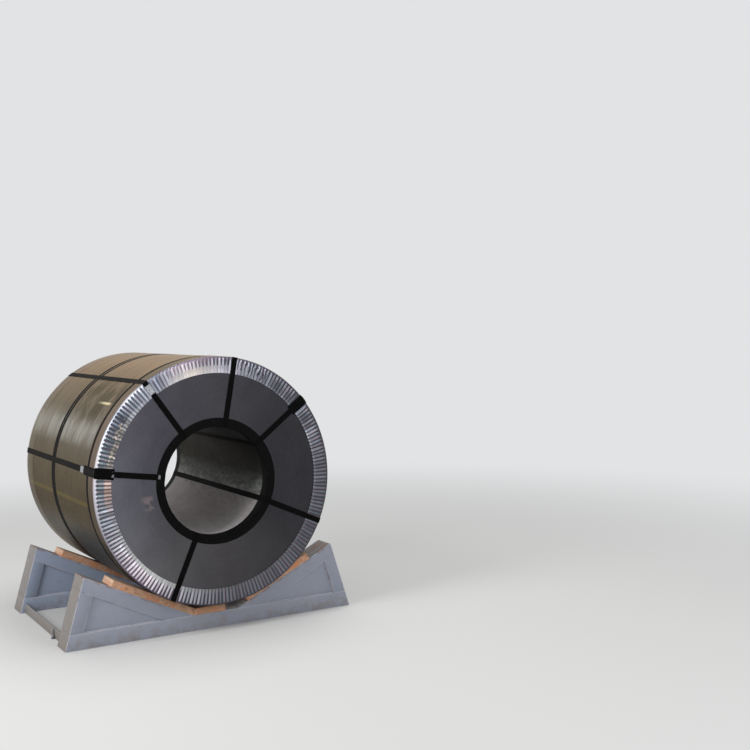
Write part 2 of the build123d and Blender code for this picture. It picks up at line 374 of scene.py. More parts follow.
def pick(obj, kind, test):
    """In edit mode, selects the verts, edges or faces for which the test is true."""
    mesh = bmesh.from_edit_mesh(obj.data)
    bpy.ops.mesh.select_mode(type=kind[:-1].upper())
    bpy.ops.mesh.select_all(action="DESELECT")
    for part in getattr(mesh, kind):
        part.select_set(test(part))
    mesh.select_flush_mode()
    bmesh.update_edit_mesh(obj.data)


def placed(obj, name):
    """Names a new object and puts its place, turn and size into its mesh."""
    obj.name = obj.data.name = name
    only(obj)
    bpy.ops.object.transform_apply(location=True, rotation=True, scale=True)
    return obj


def finished(obj, modifiers=(), smooth=None):
    """Applies the modifiers in turn, then smooths the edges below an angle."""
    only(obj)
    for kind, settings in modifiers:
        modifier = obj.modifiers.new(kind.title(), kind)
        for name, value in settings.items():
            setattr(modifier, name, value)
        bpy.ops.object.modifier_apply(modifier=modifier.name)
    if smooth is not None:
        bpy.ops.object.shade_smooth_by_angle(angle=radians(smooth))
    return obj


def spun(name, profile, steps, sweep=2 * pi, closed=False):
    """Draws a chain of (x, radius) points at angle 0 and spins it about the bore."""
    bpy.ops.object.select_all(action="DESELECT")
    start_x, start_r = profile[0]
    bpy.ops.mesh.primitive_plane_add(size=MM, location=(start_x, start_r, AXIS_Z))
    obj = placed(bpy.context.object, name)
    with editing(obj):
        bpy.ops.mesh.select_all(action="SELECT")
        bpy.ops.mesh.merge(type="CENTER")
        for (x, r), (next_x, next_r) in zip(profile, profile[1:]):
            bpy.ops.mesh.extrude_vertices_move(
                TRANSFORM_OT_translate={"value": (next_x - x, next_r - r, 0)}
            )
        if closed:
            last = len(profile) - 1
            pick(obj, "verts", lambda vert: vert.index in (0, last))
            bpy.ops.mesh.edge_face_add()
        bpy.ops.mesh.select_all(action="SELECT")
        bpy.ops.mesh.spin(steps=steps, angle=sweep, center=BORE_AXIS, axis=(1, 0, 0))
        tidy_shell()
    return obj


def tidy_shell(gap=0.02 * MM):
    """In edit mode, merges doubles and turns all faces outwards."""
    bpy.ops.mesh.select_all(action="SELECT")
    bpy.ops.mesh.remove_doubles(threshold=gap)
    bpy.ops.mesh.normals_make_consistent(inside=False)


def copied_node(node, name):
    """A merged copy of a CAD node, to be shaped further and shown in its place."""
    obj = frame["nodes"][node].copy()
    obj.data = obj.data.copy()
    obj.parent = None
    for key in list(obj.keys()):
        del obj[key]
    bpy.context.scene.collection.objects.link(obj)
    obj.name = obj.data.name = name
    with editing(obj):
        bpy.ops.mesh.select_all(action="SELECT")
        bpy.ops.mesh.remove_doubles(threshold=0.01 * MM)
        bpy.ops.mesh.dissolve_limited(angle_limit=radians(1))
    return obj


def shown(obj, material, slot, *replaced):
    """Gives a piece its finish and ties it to the frame."""
    obj.data.materials.clear()
    obj.data.materials.append(material)
    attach(obj, "root")
    if replaced:
        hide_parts(*replaced)
    return obj


# Pieces


def end_profile(rng):
    """The stepped edges of the turns on one end, from the outer corner to the bore."""
    points = [(COIL_HALF - CORNER_ROUND, COIL_RADIUS)]
    pitch = (COIL_RADIUS - CORNER_ROUND - BORE_RADIUS) / TURN_EDGES
    for edge in range(TURN_EDGES):
        outer = COIL_RADIUS - CORNER_ROUND - edge * pitch
        under_ring = outer > FACE_INNER - pitch
        set_back = TURN_DEPTHS[0] if under_ring else rng.uniform(*TURN_DEPTHS)
        points.append((COIL_HALF - set_back, outer))
        points.append((COIL_HALF - set_back, outer - pitch))
    return points


def wound_strip(material):
    """The coil itself: the edges of its turns stand a little uneven on both ends."""
    rng = random.Random(TURN_SEED)
    front = end_profile(rng)
    rear = [(-x, r) for x, r in end_profile(rng)]
    coil = spun("wound_strip", front + rear[::-1], COIL_SEGMENTS, closed=True)
    finished(coil, smooth=40)
    return shown(coil, material, "coil_strip", "steel_coil")


def pressed(angle):
    """Whether a strap or a pad presses the ring flat at this angle."""
    half_pleat = 180 / PLEATS
    return any(
        abs((angle - strap + 180) % 360 - 180) < degrees(half / FACE_INNER) + half_pleat
        for strap, half in PRESSED.items()
    )


def rolled_over(angle):
    """Whether the pleats' inner ends were rolled over at this angle."""
    return any(start < angle < end for start, end in ROLLED_OVER)


def ridge(share, rise):
    """How high a pleat stands at this share of the leg, for a list of (share, height)."""
    for (start, low), (end, high) in zip(rise, rise[1:]):
        if share <= end:
            return low + (high - low) * (share - start) / (end - start)
    return rise[-1][1]


def flat_pleat():
    """One pleat's strip of the face leg at angle 0, still flat."""
    pitch = 2 * pi / PLEATS
    leg = FACE_INNER - FACE_OUTER
    rows = [FACE_OUTER + leg * (row / PLEAT_ROWS) for row in range(PLEAT_ROWS + 1)]
    pleat = spun("pleat", [(COIL_HALF, r) for r in rows], PLEAT_COLUMNS, sweep=pitch)
    with editing(pleat):
        bpy.ops.mesh.select_all(action="SELECT")
        bpy.ops.transform.rotate(value=-pitch / 2, orient_axis="X", center_override=BORE_AXIS)
    return pleat


def raised_pleat(rise, lean):
    """A pleat whose ridge follows the rise along the leg and leans to one side."""
    half_pitch = pi / PLEATS
    pleat = flat_pleat()
    with editing(pleat):
        mesh = bmesh.from_edit_mesh(pleat.data)
        for vert in mesh.verts:
            arm = vert.co - Vector((vert.co.x, 0, AXIS_Z))
            across = atan(arm.z / arm.y) / half_pitch
            if across < lean:
                crest = (1 + across) / (1 + lean)
            else:
                crest = (1 - across) / (1 - lean)
            share = (FACE_OUTER - arm.length) / (FACE_OUTER - FACE_INNER)
            vert.co.x += PLEAT_HEIGHT * ridge(share, rise) * max(0.0, crest)
        bmesh.update_edit_mesh(pleat.data)
    return pleat


def pleat_copy(pleat, angle, height):
    """A copy of a pleat at this angle, at this share of its height."""
    copy = pleat.copy()
    copy.data = pleat.data.copy()
    bpy.context.scene.collection.objects.link(copy)
    lift = Matrix.Translation((COIL_HALF, 0, 0)) @ Matrix.Diagonal((height, 1, 1, 1))
    turn = Matrix.Translation(BORE_AXIS) @ Matrix.Rotation(radians(angle), 4, "X")
    copy.matrix_world = turn @ lift @ Matrix.Translation((-COIL_HALF, 0, -AXIS_Z))
    return copy


def crimped_ring(row, material):
    """An edge ring: a plain side leg, a rounded bend and a face leg gathered into pleats."""
    rng = random.Random(row)
    standing = [raised_pleat(STANDING_RISE, lean) for lean in PLEAT_LEANS]
    rolled = [raised_pleat(ROLLED_RISE, lean) for lean in PLEAT_LEANS]
    copies = []
    for k in range(PLEATS):
        angle = 360 * k / PLEATS
        kind = rng.choice(rolled if rolled_over(angle) else standing)
        height = PRESSED_SHARE if pressed(angle) else rng.uniform(LOWEST_PLEAT, 1.0)
        copies.append(pleat_copy(kind, angle, height))
    for kind in standing + rolled:
        bpy.data.objects.remove(kind)
    side = [(COIL_HALF - RING_SIDE_LEG, COIL_RADIUS), (COIL_HALF - BEND_RADIUS, COIL_RADIUS)]
    bend = []
    for turn in (pi / 6, pi / 3, pi / 2):
        back = BEND_RADIUS * (1 - sin(turn))
        down = BEND_RADIUS * (1 - cos(turn))
        bend.append((COIL_HALF - back, COIL_RADIUS - down))
    only(spun("crimped_ring", side + bend, PLEATS * PLEAT_COLUMNS))
    for copy in copies:
        copy.select_set(True)
    bpy.ops.object.join()
    ring = placed(bpy.context.object, f"edge_ring_{row}_crimped")
    with editing(ring):
        tidy_shell(0.05 * MM)
        if row == "rear":
            bpy.ops.mesh.select_all(action="SELECT")
            bpy.ops.transform.resize(value=(-1, 1, 1), center_override=(0, 0, 0))
            bpy.ops.mesh.flip_normals()
    finished(ring, [("SOLIDIFY", {"thickness": RING_SHEET, "offset": 1.0})], smooth=32)
    return shown(ring, material, "edge_ring_sheet", f"edge_ring_{row}")


def eased(node, name, material, slot, width):
    """A node with its edges eased, as filed, worn or planed edges are."""
    piece = copied_node(node, name)
    bevel = {"width": width, "segments": 2, "limit_method": "ANGLE", "angle_limit": radians(20)}
    finished(piece, [("BEVEL", bevel)], smooth=35)
    return shown(piece, material, slot, node)


def seal_directions(centre):
    """The way a strap runs under the seal at this place, and across it."""
    arm = Vector((0, centre.y, centre.z - AXIS_Z))
    outwards = arm.normalized()
    around = Vector((1, 0, 0)).cross(outwards)
    if arm.length < COIL_RADIUS:
        return outwards, around
    return Vector((1, 0, 0)), around


def crimped_seal(node, material):
    """A seal whose two edges were nicked by the crimping tool."""
    low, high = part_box(node)
    centre = (low + high) / 2
    along, across = seal_directions(centre)
    if node.startswith("girth"):
        along, across = across, along
    seal = copied_node(node, f"{node}_crimped")
    reach = max(abs((vert.co - centre).dot(along)) for vert in seal.data.vertices)
    step = reach / SEAL_SLICES
    with editing(seal):
        for cut in range(1 - SEAL_SLICES, SEAL_SLICES):
            bpy.ops.mesh.select_all(action="SELECT")
            bpy.ops.mesh.bisect(plane_co=centre + along * (cut * step), plane_no=along)
        mesh = bmesh.from_edit_mesh(seal.data)
        for vert in mesh.verts:
            slice_number = round(abs((vert.co - centre).dot(along)) / step)
            if slice_number in SEAL_NICKS:
                vert.co -= across * ((vert.co - centre).dot(across) * NICK_SHARE)
        bmesh.update_edit_mesh(seal.data)
    finished(seal, smooth=20)
    return shown(seal, material, "seal_steel", node)


def web_corners(node, facing_front):
    """The corners of a web plate's face, in order, read from its node."""
    verts = [vert.co for vert in frame["nodes"][node].data.vertices]
    level = (max if facing_front else min)(co.x for co in verts)
    flat = {(round(co.y, 4), round(co.z, 4)) for co in verts if abs(co.x - level) < MM}
    corners = [Vector((level, y, z)) for y, z in flat]
    middle = sum(corners, Vector()) / len(corners)
    return sorted(corners, key=lambda co: atan2(co.z - middle.z, co.y - middle.y))


def weld_run(start, end, out):
    """A fillet weld between two corners of a web, as ripples to the front (1) or rear (-1)."""
    run = end - start
    count = max(2, int(run.length / WELD_PITCH))
    bpy.ops.object.select_all(action="DESELECT")
    bpy.ops.mesh.primitive_ico_sphere_add(subdivisions=2, radius=WELD_SIZE, location=start)
    bead = bpy.context.object
    bead.scale = (0.8, 1, 1)
    placed(bead, "weld_ripple")
    with editing(bead):
        bpy.ops.mesh.select_all(action="SELECT")
        bpy.ops.mesh.bisect(plane_co=start, plane_no=(out, 0, 0), clear_inner=True, use_fill=True)
    step = {"count": count, "use_relative_offset": False, "use_constant_offset": True}
    step["constant_offset_displace"] = run / count
    return finished(bead, [("ARRAY", step)], smooth=60)


def saddle_welds(row, material):
    """The weld seams round the web plates of one saddle, as one piece."""
    runs = []
    for hand in ("left", "right"):
        for facing_front in (True, False):
            corners = web_corners(f"saddle_{row}_web_plate_{hand}", facing_front)
            for start, end in zip(corners, corners[1:] + corners[:1]):
                runs.append(weld_run(start, end, 1 if facing_front else -1))
    only(runs[0])
    for run in runs[1:]:
        run.select_set(True)
    bpy.ops.object.join()
    return shown(placed(bpy.context.object, f"saddle_{row}_welds"), material, "saddle_paint")


def rail_bolt(material):
    """An upright anchor bolt with its nut and washer, beside the left floor rail."""
    low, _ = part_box("floor_rail_left")
    parts = []
    for sides, radius, foot, height in BOLT_PARTS.values():
        bpy.ops.object.select_all(action="DESELECT")
        bpy.ops.mesh.primitive_cylinder_add(
            vertices=sides,
            radius=radius,
            depth=height,
            location=(*BOLT_PLACE, low.z + foot + height / 2),
        )
        parts.append(bpy.context.object)
    for part in parts:
        part.select_set(True)
    bpy.ops.object.join()
    bolt = placed(bpy.context.object, "rail_bolt")
    finished(bolt, [("BEVEL", {"width": MM, "segments": 2, "limit_method": "ANGLE"})], smooth=35)
    return shown(bolt, material, "seal_steel")


# Finishes


def turn_at(angle):
    """The turn from the top at an angle about the bore."""
    return (0.75 - angle / 360) % 1 - 0.5


# Oiled zinc reflects less, and warmer, where it turns from the eye
EDGE_TINT = (0.80, 0.70, 0.58, 1.0)

# Tones of the coil's side, ends and bore at angles about the bore: painted reflections, painted
# light and painted shade, with a painted reflection arc at 52 degrees in the bore
SIDE_TONES = {
    20: paint(122, 120, 114),
    66: paint(142, 134, 120),
    110: paint(160, 138, 116),
    130: paint(136, 122, 106),
    144: paint(120, 114, 104),
    154: paint(156, 156, 152),
    163: paint(106, 102, 94),
    176: paint(84, 80, 68),
    194: paint(58, 56, 48),
    208: paint(66, 76, 86),
    222: paint(54, 54, 58),
    300: paint(84, 85, 86),
}
END_TONES = {
    30: paint(57, 57, 61),
    90: paint(70, 70, 75),
    135: paint(78, 76, 84),
    175: paint(92, 92, 101),
    210: paint(94, 94, 100),
    236: paint(88, 87, 90),
    275: paint(76, 74, 76),
    330: paint(57, 57, 61),
}
BORE_TONES = {
    2: paint(44, 47, 42),
    22: paint(28, 32, 29),
    36: paint(10, 14, 11),
    52: paint(56, 62, 66),
    70: paint(10, 12, 12),
    150: paint(14, 15, 15),
    215: paint(140, 136, 136),
    258: paint(224, 218, 220),
    320: paint(196, 190, 191),
    336: paint(172, 170, 168),
    346: paint(132, 138, 134),
}

# Scales of the end's noise along its radius, for the fine rings and the broader bands
FINE_RINGS = 380
BROAD_BANDS = 36


def side_tone(f, x, turn):
    """The zinc of the outer turn: painted reflections and painted light round the coil, a painted
    glare highlight, a painted pale band of reflected light and a painted reflection of a floor
    line; streaks run round the coil, with dull patches near the front.
    """
    # painted reflections, light and shade at angles about the bore
    tone = f.around(turn, SIDE_TONES)
    dull = f.near(turn, turn_at(138), 0.048) * f.fade(x, -0.4, 0.2)
    mottle = f.noise((10, 4.5, 4.5), detail=6, distortion=1.0)
    tone = f.mix(tone, paint(70, 70, 62), dull * f.fade(mottle, 0.40, 0.55) * 0.8)
    # painted highlight: a thin bright glare streak near the front
    painted_glare = f.near(turn, turn_at(139.4), 0.0026) * f.fade(x, 0.28, 0.46) * f.fade(x, 0.56, 0.50)
    tone = f.mix(tone, paint(240, 230, 190), painted_glare)
    # painted reflection: a pale band of reflected light along the side
    pale = f.near(turn, turn_at(155), 0.022) * f.fade(f.noise((13, 2, 2)), 0.40, 0.62)
    tone = f.mix(tone, paint(190, 196, 192), pale * 0.45)
    # painted reflection of a yellow floor line, thin, round the lower side
    painted_floor_line_reflection = f.near(turn, turn_at(187), 0.004) * f.fade(mottle, 0.1, 0.4)
    tone = f.mix(tone, paint(124, 112, 62), painted_floor_line_reflection * 0.5)
    streaks = f.noise((30, 1.4, 1.4), detail=5)
    fine = f.noise((120, 6, 6), detail=3)
    blotches = f.noise((4, 6, 6), detail=4, distortion=0.6)
    return f.shaded(tone, 0.24 + 0.72 * streaks + 0.45 * fine + 0.36 * blotches)


def end_tone(f, x, turn, radius):
    """The stacked strip edges of an end: grey-violet, with painted light and shade about the bore
    and a painted lighter rim on the left, fine rings and a smear in front.
    """
    lighter = f.fade(radius, BORE_RADIUS, COIL_RADIUS)
    rings = f.noise_along(radius * FINE_RINGS, detail=3.0)
    bands = f.noise_along(radius * BROAD_BANDS, detail=1.0)
    clouds = f.noise((4, 7, 7), detail=5, distortion=0.5)
    # painted light: the end is painted lighter towards its rim on the left
    painted_rim_light = (lighter - 0.4) * f.near(turn, turn_at(185), 0.24)
    light = 0.66 + 0.20 * rings + 0.16 * bands + 0.42 * clouds + 0.7 * painted_rim_light
    # END_TONES paint light and shade at angles about the bore
    tone = f.shaded(f.around(turn, END_TONES), light)
    smear = f.near(turn, turn_at(192), 0.02) * f.near(radius, 0.41, 0.045) * f.fade(x, 0.0, 0.1)
    smear = smear * f.fade(f.noise((30, 30, 30)), 0.4, 0.6)
    return f.mix(tone, paint(136, 122, 124), smear * 0.7)


def bore_tone(f, turn):
    """The zinc inside the bore: painted shade above, painted light below with a painted reflection
    arc, and spangle on its right side.
    """
    spangle = f.spangle((26, 60, 60))
    clouds = f.noise((5, 9, 9), detail=4)
    right = f.near(turn, turn_at(352), 0.09)
    light = 0.66 + 0.42 * clouds + (spangle - 0.5) * 0.5 * (0.25 + right)
    return f.shaded(f.around(turn, BORE_TONES), light)


def coil_finish():
    """Galvanised strip: its outer side, its ends and the inside of the bore."""
    material, f = new_finish("galvanised_strip")
    x, turn, radius = f.about_bore()
    on_end = f.fade(abs(x), COIL_HALF - 3 * MM, COIL_HALF - 2 * MM)
    in_bore = f.fade(radius, BORE_RADIUS + MM, BORE_RADIUS)
    colour = f.mix(side_tone(f, x, turn), end_tone(f, x, turn, radius), on_end)
    colour = f.mix(colour, bore_tone(f, turn), in_bore)
    cloud = f.noise((6, 8, 8), detail=3)
    grain = f.spangle((90, 90, 90))
    f.surface(
        base_color=colour,
        metallic=0.95 - 0.7 * in_bore,
        roughness=0.30 + 0.14 * cloud + 0.06 * grain + 0.2 * on_end + 0.15 * in_bore,
        normal=f.bump(grain, 0.12, 0.2 * MM),
        specular_ior_level=0.12,
        specular_tint=EDGE_TINT,
    )
    return material


# Tones of the ring at angles about the bore, with light and shade painted in: the painted lit and
# the painted shaded flank of a pleat, the rolled inner edge, the pleats' outer ends at the bend
# with painted highlights and shade, and the side leg
RING_PAINTED_LIT = {
    56: paint(84, 88, 94),
    70: paint(156, 162, 174),
    84: paint(190, 192, 204),
    106: paint(255, 246, 252),
    118: paint(176, 184, 202),
    131: paint(224, 230, 244),
    143: paint(78, 86, 98),
    178: paint(98, 108, 112),
    194: paint(160, 168, 178),
    228: paint(255, 244, 252),
    252: paint(176, 178, 188),
    275: paint(112, 113, 120),
}
RING_PAINTED_SHADE = {
    60: paint(48, 48, 56),
    84: paint(60, 58, 66),
    98: paint(130, 116, 128),
    110: paint(166, 152, 164),
    120: paint(78, 84, 96),
    130: paint(104, 110, 124),
    142: paint(52, 58, 68),
    178: paint(68, 78, 82),
    200: paint(80, 82, 92),
    224: paint(112, 96, 112),
    240: paint(66, 56, 70),
    262: paint(50, 52, 58),
}
RING_ROLLED = {
    60: paint(124, 128, 138),
    84: paint(186, 184, 196),
    102: paint(232, 224, 214),
    120: paint(176, 180, 194),
    133: paint(218, 224, 238),
    150: paint(134, 134, 130),
    166: paint(122, 120, 116),
    180: paint(188, 158, 146),
    190: paint(136, 136, 142),
    228: paint(214, 218, 216),
    252: paint(160, 164, 166),
    276: paint(102, 104, 108),
}
RING_OUTER_END = {
    60: paint(46, 48, 56),
    98: paint(92, 80, 94),
    120: paint(92, 100, 114),
    136: paint(242, 244, 255),
    144: paint(176, 184, 198),
    154: paint(232, 238, 248),
    166: paint(255, 250, 255),
    180: paint(228, 224, 238),
    202: paint(164, 166, 178),
    214: paint(136, 126, 142),
    224: paint(84, 74, 90),
    270: paint(58, 58, 66),
}
RING_SIDE = {
    60: paint(124, 118, 108),
    126: paint(122, 110, 96),
    146: paint(132, 118, 110),
    172: paint(112, 100, 94),
    186: paint(82, 74, 68),
    205: paint(66, 60, 60),
    225: paint(44, 43, 48),
}

# Where the pleats are crushed, and on which flank the light falls: 0 on one, 1 on the other
RING_CRUSHED = {56: 0, 62: 1, 75: 1, 80: 0}
RING_LIT_FLANK = {124.6: 0, 124.8: 1, 334.9: 1, 335.1: 0}

# How much the bright flank widens inwards, and how little the rolled edge shows its stripes
RING_TAPER = {
    60: 0.5,
    81: 1.0,
    112: 0.9,
    120: 0.2,
    200: 0.2,
    225: 0.45,
    244: 0.5,
    260: 0.2,
}
RING_ROLLED_FLAT = {
    80: 0.5,
    90: 1.0,
    112: 0.8,
    120: 0.1,
    180: 0.1,
    205: 0.3,
    228: 0.9,
    246: 0.6,
    280: 0.2,
}

# Shares of the face leg at which the rolled edge starts, and which the bend's tone takes
RING_ROLLED_START = {
    56: 0.92,
    73: 0.84,
    81: 0.52,
    112: 0.6,
    120: 0.9,
    138: 0.75,
    170: 0.6,
    186: 0.55,
    200: 0.84,
    240: 0.72,
}
RING_BEND_WIDTH = {
    84: 0.04,
    92: 0.08,
    108: 0.08,
    118: 0.05,
    134: 0.06,
    142: 0.02,
    150: 0.03,
    158: 0.07,
    182: 0.09,
    205: 0.05,
    240: 0.04,
}

# Where the side leg takes a painted highlight as bright as the pleats' outer ends, beside the bend
RING_BEND_HIGHLIGHT = {118: 0, 132: 1, 190: 1, 206: 0}

# How far crushing shifts the pleats, in pleats, and the rows of glints down the face leg
CRUSH_SHIFT = 2.2
GLINT_ROWS = 11


def ring_face(f, turn, along, outer_end):
    """The face leg: pleats with a painted lit and a painted shaded flank, painted glints, and
    their inner and outer ends with painted light and shade.
    """
    crumple = f.level(turn, RING_CRUSHED) * (f.noise((1, 22, 22), detail=2) - 0.5)
    pleat = turn * PLEATS + crumple * CRUSH_SHIFT
    each = f.chance(pleat.math("ROUND"))
    lit_flank = f.level(turn, RING_LIT_FLANK) * 2 - 1
    wave = (pleat * (2 * pi)).math("SINE") * lit_flank

    # painted light and shade: one flank of each pleat painted lit, the other painted shaded
    widening = (along - 0.45) * f.level(turn, RING_TAPER) * 2.6
    stripe = f.fade(wave + widening + (each - 0.5) * 0.7, -0.35, 0.45)
    bright = f.shaded(f.around(turn, RING_PAINTED_LIT), 0.72 + 0.42 * each)
    face = f.mix(f.around(turn, RING_PAINTED_SHADE), bright, stripe)

    rolled = f.around(turn, RING_ROLLED)
    # the rolled edge as painted shaded and painted lit copies of its tone
    rolled_stripe = f.fade(wave + f.level(turn, RING_ROLLED_FLAT) * 1.5, -0.5, 0.6)
    rolled = f.mix(f.shaded(rolled, 0.38), f.shaded(rolled, 0.80 + 0.26 * each), rolled_stripe)
    rolled_start = f.level(turn, RING_ROLLED_START)
    face = f.mix(face, rolled, f.fade(along - rolled_start, -0.05, 0.07))

    flank = (pleat * 2).math("ROUND")
    glint_row = (along * GLINT_ROWS).math("FLOOR")
    glints = f.fade(f.chance(flank * 7.3 + glint_row), 0.74, 0.86)
    glints = glints * f.near(turn, turn_at(155), 0.055) * f.fade(along, 0.4, 0.6)
    face = f.mix(face, paint(204, 190, 170), glints * 0.6)

    # the outer ends at the bend take painted highlights and shade
    bend_width = f.level(turn, RING_BEND_WIDTH)
    face = f.mix(outer_end, face, f.fade(along - wave * 0.03 - bend_width, 0.0, 0.06))
    bluish = f.fade(f.noise_along(turn * 70), 0.4, 0.6)
    return f.mix(face, f.mix(paint(216, 176, 196), paint(160, 190, 204), bluish), 0.10)


def ring_finish():
    """Zinc sheet of the crimped rings, whose tones, with their painted light, shade and
    reflections, change round the coil.
    """
    material, f = new_finish("crimped_sheet")
    x, turn, radius = f.about_bore()
    along = (COIL_RADIUS - radius) / RING_FACE_LEG
    outer_end = f.around(turn, RING_OUTER_END)
    face = ring_face(f, turn, along, outer_end)
    # the rear side leg takes the coil's painted side reflections, painted darker
    rear_leg = f.shaded(side_tone(f, x, turn), 0.8)
    leg = f.mix(rear_leg, f.around(turn, RING_SIDE), f.fade(x, 0, 0.1))
    # painted highlight on the side leg beside the bend
    painted_bend_highlight = f.fade(abs(x), COIL_HALF - 24 * MM, COIL_HALF - 12 * MM)
    leg = f.mix(leg, f.shaded(outer_end, 0.8), painted_bend_highlight * f.level(turn, RING_BEND_HIGHLIGHT))
    f.surface(
        base_color=f.mix(leg, face, f.fade(along, 0.003, 0.02)),
        metallic=0.85,
        roughness=0.32,
        specular_ior_level=0.2,
        specular_tint=EDGE_TINT,
    )
    return material


# Radii at which the left eye strap is rubbed bright, at the pad and at the bore, and their reach
LEFT_STRAP_RUBS = (0.597, BORE_RADIUS + 32 * MM)
RUB_REACH = 9 * MM


def black_steel_finish():
    """Blackened strapping: browner and dusty on the coil's side, scuffed along its length."""
    material, f = new_finish("black_strapping")
    x, turn, radius = f.about_bore()
    scuffs = f.noise((40, 40, 40), detail=5)
    dust = f.fade(radius, COIL_RADIUS - 6 * MM, COIL_RADIUS) * f.fade(scuffs, 0.3, 0.75)
    colour = f.mix(paint(7, 7, 8), paint(32, 29, 26), dust)
    worn = f.fade(f.noise((260, 260, 260), detail=2), 0.66, 0.74)
    colour = f.mix(colour, paint(96, 92, 86), worn * 0.4)
    rubs = sum(f.near(radius, place, RUB_REACH) for place in LEFT_STRAP_RUBS)
    rubs = rubs * f.near(turn, turn_at(171), 0.008) * f.fade(x, COIL_HALF, COIL_HALF + MM)
    colour = f.mix(colour, paint(128, 128, 134), rubs * f.fade(scuffs, 0.4, 0.5))
    f.surface(
        base_color=colour,
        metallic=0.0,
        roughness=0.5 + 0.25 * scuffs,
        specular_ior_level=0.04,
        normal=f.bump(scuffs, 0.1, 0.3 * MM),
    )
    return material


def lacquer_finish():
    """The near-black sheet of the bore rings, with a few bright rubs."""
    material, f = new_finish("black_lacquer")
    smears = f.noise((30, 30, 30), detail=4)
    rubs = f.fade(f.noise((140, 140, 140), detail=3), 0.68, 0.76)
    colour = f.mix(paint(3, 3, 4), paint(12, 12, 13), smears)
    colour = f.mix(colour, paint(84, 84, 84), rubs * 0.6)
    f.surface(
        base_color=colour,
        metallic=0.0,
        roughness=0.4 + 0.2 * smears,
        specular_ior_level=0.05,
    )
    return material


def rubber_finish():
    """Moulded black pads, dusty, with a fine pebbled skin."""
    material, f = new_finish("pad_rubber")
    dust = f.noise((50, 50, 50), detail=5)
    pebbles = f.cells((420, 420, 420), "Distance")
    colour = f.mix(paint(8, 9, 10), paint(30, 29, 28), f.fade(dust, 0.5, 0.8))
    f.surface(
        base_color=colour,
        roughness=0.62 + 0.2 * dust,
        specular_ior_level=0.04,
        normal=f.bump(pebbles, 0.35, 0.4 * MM),
    )
    return material


def zinc_finish():
    """Seals and fasteners: mottled zinc."""
    material, f = new_finish("zinc_fittings")
    mottle = f.noise((90, 90, 90), detail=4)
    paler = 0.55 * f.spangle((150, 150, 150)) + 0.6 * mottle
    f.surface(
        base_color=f.mix(paint(104, 106, 108), paint(186, 188, 194), paler),
        metallic=0.85,
        roughness=0.26 + 0.2 * mottle,
        normal=f.bump(mottle, 0.2, 0.3 * MM),
    )
    return material


# Y from nothing to full, at the two ends of the painted light that lifts the shade in the gap
# beside the flat board
PAINTED_LIGHT_START = (0.04, 0.06)
PAINTED_LIGHT_END = (0.22, 0.19)

# Height above the floor up to which the saddles are soiled
SOILED_HEIGHT = 0.12


def saddle_finish():
    """Blue-grey paint: sides painted tan as warm reflected light, dust on tops, pale edges that
    are partly wear and partly painted highlight, the rear saddle painted lighter and bluer as
    painted light, a painted pale patch of light in the gap beside the flat board, scratches, rust
    at the boards.
    """
    material, f = new_finish("saddle_paint")
    front, side, up = f.facing()
    x, y, z = f.place()
    clouds = f.noise((5, 5, 5), detail=5, distortion=0.4)
    mottle = f.noise((24, 24, 24), detail=5)
    colour = f.mix(paint(132, 137, 152), paint(154, 158, 172), 0.6 * clouds + 0.4 * mottle)
    colour = f.mix(colour, paint(112, 134, 150), f.fade(f.noise((3, 4, 4)), 0.52, 0.7) * 0.35)
    # painted light: the rear saddle painted lighter and bluer than the same paint in front
    colour = f.mix(colour, paint(156, 172, 198), f.fade(x, 0.1, -0.1) * 0.55)
    # dusty: on the sides this tan is painted warm reflected light, on the tops it is dust
    dusty = f.mix(paint(108, 100, 92), paint(140, 132, 122), mottle)
    side_light_and_top_dust = f.fade(abs(side), 0.6, 0.9) + f.fade(up, 0.5, 0.9) * 0.7
    colour = f.mix(colour, dusty, side_light_and_top_dust.math("MINIMUM", 1.0) * 0.85)
    # painted light: a pale patch that lifts the shade in the gap beside the flat board
    gap = f.fade(up, 0.5, 0.9) * f.fade(y, *PAINTED_LIGHT_START) * f.fade(y, *PAINTED_LIGHT_END)
    colour = f.mix(colour, paint(236, 238, 244), gap * 0.9)
    near_floor = f.fade(z, SOILED_HEIGHT, 0.0) * f.fade(mottle, 0.35, 0.7) * (1 - gap)
    colour = f.mix(colour, paint(122, 112, 102), near_floor * 0.6)
    bed = z - abs(y) * tan(radians(SADDLE_SLOPE))
    rust = f.near(bed, SADDLE_BED, 14 * MM) * f.fade(f.noise((30, 18, 18), detail=4), 0.42, 0.62)
    rust = rust * f.fade(z, BEAM_TOP, BEAM_TOP + 30 * MM) * (1 - gap)
    colour = f.mix(colour, paint(126, 92, 66), rust * 0.7)
    scratches = f.fade(f.noise((14, 6, 120), detail=3, distortion=1.5), 0.66, 0.71)
    colour = f.mix(colour, paint(92, 88, 86), scratches * 0.5)
    # pale edges: partly wear, partly a painted highlight along the edges
    edges = f.fade(abs(front), 0.1, 0.25) * f.fade(abs(front), 0.995, 0.96)
    edges = edges * f.fade(mottle, 0.25, 0.5)
    colour = f.mix(colour, paint(190, 190, 202), edges * 0.8)
    f.surface(
        base_color=colour,
        metallic=0.0,
        roughness=0.5 + 0.25 * clouds,
        normal=f.bump(mottle + clouds, 0.22, MM),
    )
    return material


